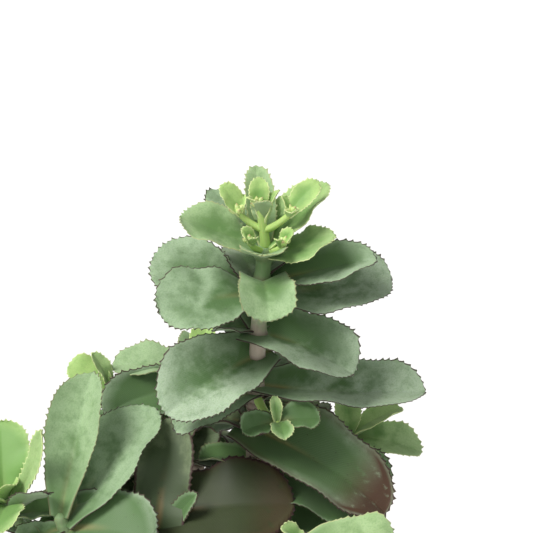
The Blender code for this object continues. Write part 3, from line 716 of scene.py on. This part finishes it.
def branch_line(branch, count):
    start, bend, top = (np.array(branch[end]) for end in ("start", "bend", "top"))
    t = np.linspace(0, 1, count)[:, None]
    return (1 - t) ** 2 * start + 2 * (1 - t) * t * bend + t**2 * top


def point_at(line, measure, value):
    """The point of the line where the measure reaches the value."""
    return np.array([np.interp(value, measure, line[:, i]) for i in range(3)])


def half_width(s, widest, neck):
    """Share of the widest half-width at s, from the neck at the stem to the blunt tip."""
    rise = neck + (1 - neck) * np.sin(np.clip(s / widest, 0, 1) * math.pi / 2) ** 1.1
    fall = np.clip((s - widest) / (1 - widest), 0, 1) ** 2.5
    return rise * np.sqrt(1 - fall)


def toothed_margin(length, count, settings, scale, draw):
    """Where the rows of faces meet one margin, and how far the margin stands out there."""
    widths = 1 + draw.uniform(-0.35, 0.35, count)
    starts = np.concatenate([[0], np.cumsum(widths)]) * length / widths.sum()
    depth = settings.tooth_depth * scale**1.2 * draw.uniform(0.35, 1.5, count)
    stops = starts[:-1, None] + np.diff(starts)[:, None] * TOOTH_ROWS[None, :, 0]
    stand = depth[:, None] * (TOOTH_ROWS[None, :, 1] - 0.3)
    return np.append(stops.ravel(), length), np.append(stand.ravel(), 0)


def leaf_spine(row, curl):
    """Middle line of a leaf from its base, with the directions along, across and out of its upper face."""
    s = np.linspace(0, 1.1, 90)
    pitch = row["pitch"] + row["droop"] * (0.5 - s) - curl * np.clip((s - 0.6) / 0.4, 0, 1.2) ** 2
    pitch = np.radians(pitch)
    az = np.radians(row["az"] + row["sweep"] * (s - 0.5))
    along = np.stack([np.cos(pitch) * np.cos(az), np.cos(pitch) * np.sin(az), np.sin(pitch)], 1)
    steps = (along[1:] + along[:-1]) / 2 * row["length"] * (s[1] - s[0])
    middle = np.concatenate([np.zeros((1, 3)), np.cumsum(steps, 0)])
    flat = np.stack([-np.sin(az), np.cos(az), 0 * az], 1)
    up = np.cross(along, flat)
    roll = np.radians(row["roll"] + row["twist"] * (s - 0.5))[:, None]
    across = np.cos(roll) * flat + np.sin(roll) * up
    out = np.cos(roll) * up - np.sin(roll) * flat
    return s, middle, across, out


def add_leaf(skin, row, base, settings, seed):
    """A fleshy leaf with toothed wavy margins, a furrow along its middle and a keel beneath."""
    draw = np.random.default_rng(seed)
    length = row["length"]
    half = row["width"] / 2
    scale = min(1.0, 0.35 + length / 0.09)
    fine = TIP_END * np.sin(np.linspace(0, math.pi / 2, 500))
    width = half * half_width(fine, row["widest"], row["neck"])
    wobble = draw.uniform(0, 2 * math.pi, 4)
    width = width * (1 + 0.025 * np.sin(7 * fine + wobble[0]) + 0.015 * np.sin(13 * fine + wobble[1]))
    run = np.concatenate([[0], np.cumsum(np.hypot(np.diff(fine * length), np.diff(width)))])
    slope = np.gradient(np.stack([fine * length, width], 1), run, axis=0)
    slope /= np.linalg.norm(slope, axis=1)[:, None]
    count = max(4, round(run[-1] / (settings.tooth_pitch * scale)))
    margins = [toothed_margin(run[-1], count, settings, scale, draw) for _ in range(2)]
    ends = np.stack([np.interp(stops, run, fine) for stops, _ in margins], 1)
    toothed = np.clip((ends - TOOTHED_FROM) / 0.15, 0, 1)
    stand = np.stack([stand for _, stand in margins], 1) * toothed

    t = COLUMNS[None, :]
    which = (COLUMNS > 0).astype(int)
    s = ends.mean(1)[:, None] + (ends[:, which] - ends.mean(1)[:, None]) * np.abs(t)
    h = np.interp(s, fine, width)
    lean_u, lean_x = (np.interp(s, fine, slope[:, i]) for i in range(2))
    reach = np.clip(1 - (1 - np.abs(t)) * h / 0.0030, 0, 1) ** 1.5
    step = stand[:, which] * reach
    u = s * length - step * lean_x
    x = t * h + np.sign(t) * step * lean_u

    table, middle, across, out = leaf_spine(row, draw.uniform(-6, 12))
    share = u / length
    middle, across, out = (
        np.stack([np.interp(share, table, values[:, i]) for i in range(3)], -1) for values in (middle, across, out)
    )
    open_t = np.sqrt(t**2 + 0.0015) - math.sqrt(0.0015)
    turn = np.radians(row["fold"] + row["cup"] * open_t / 2)
    lean = np.radians(row["fold"] + row["cup"] * open_t)[..., None]
    waves = settings.wave * half * t**2
    phase = wobble[2] + 2.2 * (t > 0)
    sway = np.sin(2 * math.pi * (1.6 * share + phase)) + 0.5 * np.sin(2 * math.pi * (3.1 * share + wobble[3]) + 2 * t)
    rise = np.abs(x) * np.sin(turn) * open_t / np.maximum(np.abs(t), 1e-6) + waves * sway * np.clip(share * 3, 0, 1)
    surface = middle + (x * np.cos(turn))[..., None] * across + rise[..., None] * out + base
    normal = np.cos(lean) * out - np.sign(t)[..., None] * np.sin(lean) * across

    thick = settings.thickness / 2 * min(1.0, 0.45 + length / 0.09)
    body = thick * (1.15 - 0.65 * share) * (1 - np.abs(t) ** 2.6) ** 0.6
    furrow = 0.00035 * np.exp(-((x / 0.0012) ** 2)) * np.clip(1.1 - share, 0, 1) * scale
    keel = 0.0008 * np.exp(-((x / 0.0022) ** 2)) * np.clip(0.9 - share, 0, 1) * scale
    upper = surface + normal * (0.8 * body - furrow)[..., None]
    lower = surface - normal * (1.2 * body + keel)[..., None]
    edge = (0, -1)
    upper[:, edge] = lower[:, edge] = surface[:, edge]

    rim = h * (1 - np.abs(t))
    tone = np.stack([0 * share + row["age"] + draw.uniform(-0.03, 0.03), 0 * share + row["blush"], rim], -1)
    where = np.stack([u, x, 0 * share + 0.37 * (seed % 97)], -1)
    faces_up = np.stack([share, t + 0 * share, 0 * share], -1)
    faces_down = np.stack([share, t + 0 * share, 0 * share + 1], -1)
    back = slice(-2, 0, -1)

    def loop(up, down):
        return np.concatenate([up, down[:, back]], 1)

    below = where + np.array([0, 0, 11.3])
    skin.rings(
        loop(upper, lower)[:, ::-1],
        LEAF,
        loop(where, below)[:, ::-1],
        loop(faces_up, faces_down)[:, ::-1],
        loop(tone, tone)[:, ::-1],
        (row["bloom"], draw.uniform(), row["paler"]),
    )


def add_tube(skin, line, radii, scars, age):
    """A round stem along the line, with its radius and its scars at each point."""
    along = np.gradient(line, axis=0)
    along /= np.linalg.norm(along, axis=1)[:, None]
    side = np.cross(along, np.array([0.0, 1.0, 0.0]))
    side /= np.linalg.norm(side, axis=1)[:, None]
    front = np.cross(along, side)
    turn = np.linspace(0, 2 * math.pi, STEM_SIDES, endpoint=False)
    ring = np.cos(turn)[None, :, None] * side[:, None] + np.sin(turn)[None, :, None] * front[:, None]
    ribs = 1 + 0.03 * np.sin(5 * turn)[None, :] + 0.02 * np.sin(9 * turn + 1)[None, :]
    points = line[:, None] + ring * (radii[:, None] * ribs)[..., None]
    rows = len(line)
    level = np.linspace(0, 1, rows)[:, None] + 0 * turn
    share = np.stack([level, 0 * level, scars[:, None] + 0 * level], -1)
    tone = np.stack([0 * level + age, 0 * level, 0 * level], -1)
    skin.rings(points, STEM, points.copy(), share, tone)


def add_bud(skin, centre, axis, radius, age, seed):
    """A small five-ribbed bud, pointed at its tip."""
    draw = np.random.default_rng(seed)
    axis = axis / np.linalg.norm(axis)
    side = np.cross(axis, [0.3, 0.9, 0.1])
    side /= np.linalg.norm(side)
    front = np.cross(axis, side)
    t = np.linspace(0.02, 0.985, 8)
    swell = np.sin(math.pi * t**0.8) ** 0.7 * (1 - 0.35 * t)
    turn = np.linspace(0, 2 * math.pi, 15, endpoint=False) + draw.uniform(0, 2)
    ribs = 1 + 0.10 * np.cos(5 * turn)[None, :] * np.sin(math.pi * t)[:, None]
    out = (np.cos(turn)[:, None] * side + np.sin(turn)[:, None] * front)[None] * (swell[:, None] * ribs)[..., None]
    points = centre + radius * out + axis * ((t - 0.4) * 2.6 * radius)[:, None, None]
    share = np.stack([t[:, None] + 0 * turn, 0 * ribs, 0 * ribs], -1)
    tone = np.stack([0 * ribs + age, 0 * ribs, 0 * ribs], -1)
    skin.rings(points, BUD, points * 1.0, share, tone)


def add_bud_cluster(skin, branch, seed):
    """Buds crowded over the end of a flower stalk, outward all round."""
    draw = np.random.default_rng(seed)
    top = np.array(branch["top"])
    count = branch["buds"]
    for number in range(count):
        tilt = math.radians(12 + 62 * math.sqrt(number / max(count, 1)))
        turn = number * GOLDEN_ANGLE + seed
        axis = np.array([math.sin(tilt) * math.cos(turn), math.sin(tilt) * math.sin(turn), math.cos(tilt)])
        size = 0.0014 + 0.0007 * draw.uniform()
        add_bud(skin, top + axis * 0.0026, axis, size, draw.uniform(0.3, 1.0), seed * 31 + number)


def stem_skin(name, stem, number, settings, stem_settings):
    """All of one leafy stem as one skin."""
    skin = Skin()
    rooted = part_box(name)[0].z
    above = curve_line(stem, 200)
    span = np.linalg.norm(np.diff(above, axis=0), axis=1).sum()
    above = curve_line(stem, int(span / STEM_STEP))
    below = np.array([[*stem["foot"], z] for z in np.arange(rooted, SOIL_TOP - STEM_STEP / 2, STEM_STEP)])
    line = np.concatenate([below, above])
    low, high = stem["radius"]
    share = np.clip((line[:, 2] - SOIL_TOP) / (stem["top"][2] - SOIL_TOP), 0, 1)
    radii = low + (high - low) * share
    scars = np.zeros(len(line))
    for row in stem["leaves"]:
        near = np.exp(-(((line[:, 2] - row["place"] + 0.001) / 0.0022) ** 2))
        radii = radii * (1 + stem_settings.node_swell * near * (line[:, 2] > SOIL_TOP))
        scars = np.maximum(scars, near)
    crown = np.clip((stem["top"][2] - line[:, 2]) / high, 0, 1)
    add_tube(skin, line, radii * np.sqrt(np.maximum(crown * (2 - crown), 0.02)), scars, 0.5)
    for count, row in enumerate(stem["leaves"]):
        heading = math.radians(row["az"])
        base = point_at(above, above[:, 2], row["place"])
        base = base + (0.2 * high + row["start"]) * np.array([math.cos(heading), math.sin(heading), 0])
        add_leaf(skin, row, base, settings, 1000 * number + count)
    for count, branch in enumerate(stem.get("branches", ())):
        line = branch_line(branch, 24)
        low, high = branch["radius"]
        add_tube(skin, line, np.linspace(low, high, 24), np.zeros(24), 0.1)
        measure = np.linspace(0, 1, 24)
        for place, row in enumerate(branch["leaves"]):
            base = point_at(line, measure, row["place"])
            add_leaf(skin, row, base, settings, 5000 + 100 * count + place)
        add_bud_cluster(skin, branch, 1 + count)
    return skin


def turned_body(name, profile, steps):
    """A closed round body: the profile turned about the upright axis."""
    body = bmesh.new()
    chain = [body.verts.new((x, 0, z)) for x, z in profile]
    edges = [body.edges.new(pair) for pair in zip(chain, chain[1:])]
    bmesh.ops.spin(
        body, geom=chain + edges, cent=(0, 0, 0), axis=(0, 0, 1), angle=2 * math.pi, steps=steps, use_merge=True
    )
    bmesh.ops.remove_doubles(body, verts=body.verts, dist=1e-6)
    bmesh.ops.recalc_face_normals(body, faces=body.faces)
    mesh = bpy.data.meshes.new(name)
    body.to_mesh(mesh)
    body.free()
    made = bpy.data.objects.new(name, mesh)
    bpy.context.scene.collection.objects.link(made)
    return made


def rounded(corners, radius, steps):
    """The profile with each inner corner replaced by a short arc."""
    points = [corners[0]]
    for before, corner, after in zip(corners, corners[1:], corners[2:]):
        before, corner, after = (np.array(p) for p in (before, corner, after))
        back = (before - corner) / np.linalg.norm(before - corner)
        on = (after - corner) / np.linalg.norm(after - corner)
        for step in range(steps + 1):
            t = step / steps
            a = corner + back * radius * (1 - t)
            b = corner + on * radius * t
            points.append(tuple(a * (1 - t) + b * t))
    points.append(corners[-1])
    return points


def refined(profile, step):
    """The profile with points added so that none lie further apart than the step."""
    points = [profile[0]]
    for a, b in zip(profile, profile[1:]):
        count = max(1, math.ceil(math.dist(a, b) / step))
        points += [tuple(np.array(a) + (np.array(b) - np.array(a)) * k / count) for k in range(1, count + 1)]
    return points


class SEDUM_OT_leafy_stems(bpy.types.Operator):
    """Builds every leafy stem with its fine leaves and buds"""

    bl_idname = "sedum.leafy_stems"
    bl_label = "Leafy stems"

    def execute(self, context):
        leaf_settings = context.scene.sedum_leaf
        stem_settings = context.scene.sedum_stem
        materials = [
            leaf_finish(leaf_settings),
            stem_finish(stem_settings),
            bud_finish(stem_settings),
        ]
        for number, (name, stem) in enumerate(STEMS.items()):
            made = stem_skin(name, stem, number, leaf_settings, stem_settings).to_object(f"leafy_{name}", materials)
            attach(made, "root")
            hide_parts(name)
        return {"FINISHED"}


class SEDUM_OT_pot(bpy.types.Operator):
    """Builds the turned clay pot"""

    bl_idname = "sedum.pot"
    bl_label = "Pot"

    def execute(self, context):
        settings = context.scene.sedum_pot
        top = POT_HIGH.x
        high = POT_HIGH.z
        body_top = top - settings.collar_step

        def outer(z):
            return settings.base_radius + (body_top - settings.base_radius) * z / high

        under = high - settings.collar_height
        corners = [
            (0, settings.floor),
            (outer(settings.floor) - settings.wall, settings.floor),
            (outer(high) - settings.wall, high),
            (top, high),
            (outer(under) + settings.collar_step, under),
            (outer(under), under),
            (settings.base_radius, 0),
            (0, 0),
        ]
        profile = refined(rounded(corners, settings.edge_radius, 5), 0.004)
        made = turned_body("clay_pot", profile, 128)
        self.drain(made)
        made.data.materials.append(clay_finish(settings))
        made.data.shade_smooth()
        made.data.set_sharp_from_angle(angle=math.radians(50))
        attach(made, "root")
        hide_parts("pot")
        return {"FINISHED"}

    def drain(self, pot):
        """Cuts the three drain holes."""
        for number in range(3):
            turn = 2 * math.pi * number / 3
            body = bmesh.new()
            bmesh.ops.create_cone(body, cap_ends=True, segments=40, radius1=0.004, radius2=0.004, depth=0.03)
            bmesh.ops.translate(body, verts=body.verts, vec=(0.024 * math.cos(turn), 0.024 * math.sin(turn), 0.004))
            mesh = bpy.data.meshes.new("drain")
            body.to_mesh(mesh)
            body.free()
            cutter = bpy.data.objects.new("drain", mesh)
            bpy.context.scene.collection.objects.link(cutter)
            cut = pot.modifiers.new("drain", "BOOLEAN")
            cut.object = cutter
            cut.operation = "DIFFERENCE"
            bpy.context.view_layer.update()
            evaluated = pot.evaluated_get(bpy.context.evaluated_depsgraph_get())
            pot.data = bpy.data.meshes.new_from_object(evaluated)
            pot.modifiers.clear()
            bpy.data.objects.remove(cutter)


class SEDUM_OT_soil(bpy.types.Operator):
    """Builds the soil with its crumbs and grit"""

    bl_idname = "sedum.soil"
    bl_label = "Soil"

    def execute(self, context):
        settings = context.scene.sedum_pot
        low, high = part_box("soil")
        radius = high.x
        foot = radius - (POT_HIGH.x - settings.collar_step - settings.base_radius) * 0.84
        profile = [(0, low.z), (foot, low.z), (radius, high.z - 0.004), (radius - 0.001, high.z - 0.002)]
        profile = [profile[0]] + refined(profile[1:], 0.008) + [
            (radius * share, high.z - 0.0015) for share in np.linspace(0.97, 0, 36)
        ]
        made = turned_body("soil_bed", profile, 120)
        self.roughen(made, high.z)
        crumbs = self.crumbs(settings, radius, high.z)
        for part, material in ((made, soil_finish(settings)), (crumbs, soil_finish(settings))):
            part.data.materials.append(material)
            part.data.shade_smooth()
            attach(part, "root")
        crumbs.data.materials.append(grit_finish())
        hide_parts("soil")
        return {"FINISHED"}

    def roughen(self, soil, top):
        """Small lumps and hollows over the surface, within a millimetre or two."""
        draw = np.random.default_rng(4)
        waves = draw.uniform(-1, 1, (26, 2)) * np.linspace(60, 900, 26)[:, None]
        phases = draw.uniform(0, 2 * math.pi, 26)
        for vert in soil.data.vertices:
            if vert.co.z < top - 0.0018:
                continue
            swing = np.sin(waves @ np.array(vert.co[:2]) + phases) / np.linspace(1, 3, 26)
            vert.co.z += 0.00075 * float(swing.sum())

    def crumbs(self, settings, radius, top):
        """Loose crumbs of soil with some grit, half sunk into the surface."""
        draw = np.random.default_rng(9)
        body = bmesh.new()
        for number in range(settings.crumbs):
            size = 0.0008 + 0.0022 * draw.uniform() ** 2.5
            away = (radius - size - 0.001) * math.sqrt(draw.uniform())
            turn = draw.uniform(0, 2 * math.pi)
            made = bmesh.ops.create_icosphere(body, subdivisions=2, radius=size)["verts"]
            stretch = draw.uniform(0.65, 1.25, 3)
            lumps = draw.uniform(0, 6, 3)
            for vert in made:
                swell = 1 + 0.22 * math.sin(vert.co.x / size * 2.7 + lumps[0]) * math.cos(
                    vert.co.y / size * 3.1 + lumps[1]
                )
                vert.co = [vert.co[i] * stretch[i] * swell for i in range(3)]
                vert.co.x += away * math.cos(turn)
                vert.co.y += away * math.sin(turn)
                vert.co.z += top + 0.25 * size
            gritty = draw.uniform() < 0.16
            for face in {face for vert in made for face in vert.link_faces}:
                face.material_index = int(gritty)
        mesh = bpy.data.meshes.new("soil_crumbs")
        body.to_mesh(mesh)
        body.free()
        made = bpy.data.objects.new("soil_crumbs", mesh)
        bpy.context.scene.collection.objects.link(made)
        return made


class SEDUM_OT_stage(bpy.types.Operator):
    """Sets the camera, the floor and the light"""

    bl_idname = "sedum.stage"
    bl_label = "Stage"

    def execute(self, context):
        settings = context.scene.sedum_stage
        self.camera(context.scene, settings)
        bpy.ops.mesh.primitive_circle_add(vertices=96, radius=9, fill_type="NGON", location=(0, 0, 0))
        floor = context.object
        floor.name = "floor"
        floor.data.materials.append(floor_finish(settings))
        self.light(context.scene)
        return {"FINISHED"}

    def camera(self, scene, settings):
        data = bpy.data.cameras.new("photo_camera")
        camera = bpy.data.objects.new("photo_camera", data)
        scene.collection.objects.link(camera)
        lift = settings.elevation
        camera.location = (
            settings.aim[0],
            settings.aim[1] - settings.distance * math.cos(lift),
            settings.aim[2] + settings.distance * math.sin(lift),
        )
        camera.rotation_euler = (math.pi / 2 - lift, 0, 0)
        data.sensor_width = 36
        data.lens = data.sensor_width * settings.distance / settings.view_width
        data.clip_start = 0.02
        scene.camera = camera

    def light(self, scene):
        """A broad soft key from the upper left, a weak one from the right, and an even white surround."""
        lamps = (
            ("key", (-34, -14), 30, 3.5, (1.0, 0.99, 0.96)),
            ("fill", (16, -52), 70, 0.6, (0.96, 0.98, 1.0)),
        )
        for name, (lean_y, lean_x), spread, strength, colour in lamps:
            data = bpy.data.lights.new(name, "SUN")
            data.energy = strength
            data.angle = math.radians(spread)
            data.color = colour
            lamp = bpy.data.objects.new(name, data)
            lamp.rotation_euler = (math.radians(-lean_x), math.radians(lean_y), 0)
            scene.collection.objects.link(lamp)
        world = bpy.data.worlds.new("surround")
        world.use_nodes = True
        background = world.node_tree.nodes["Background"]
        background.inputs["Color"].default_value = (1, 1, 1, 1)
        background.inputs["Strength"].default_value = 0.31
        scene.world = world
        scene.view_settings.view_transform = "Standard"


class SEDUM_PT_panel(bpy.types.Panel):
    """Lists the steps of the build"""

    bl_label = "Potted sedum"
    bl_idname = "SEDUM_PT_panel"
    bl_space_type = "VIEW_3D"
    bl_region_type = "UI"
    bl_category = "Sedum"

    def draw(self, context):
        for operator in OPERATORS:
            self.layout.operator(operator.bl_idname)
        for _, group in SETTINGS:
            held = getattr(context.scene, group)
            for name in held.bl_rna.properties.keys():
                if name not in ("rna_type", "name"):
                    self.layout.prop(held, name)


OPERATORS = (SEDUM_OT_leafy_stems, SEDUM_OT_pot, SEDUM_OT_soil, SEDUM_OT_stage)
SETTINGS = (
    (SedumLeafSettings, "sedum_leaf"),
    (SedumStemSettings, "sedum_stem"),
    (SedumPotSettings, "sedum_pot"),
    (SedumStageSettings, "sedum_stage"),
)


def register():
    for group, name in SETTINGS:
        bpy.utils.register_class(group)
        setattr(bpy.types.Scene, name, bpy.props.PointerProperty(type=group))
    for made in (*OPERATORS, SEDUM_PT_panel):
        bpy.utils.register_class(made)


def unregister():
    for made in (SEDUM_PT_panel, *reversed(OPERATORS)):
        bpy.utils.unregister_class(made)
    for group, name in reversed(SETTINGS):
        delattr(bpy.types.Scene, name)
        bpy.utils.unregister_class(group)


def main():
    register()
    bpy.ops.sedum.stage()
    bpy.ops.sedum.leafy_stems()
    bpy.ops.sedum.soil()
    bpy.ops.sedum.pot()


if __name__ == "__main__":
    main()
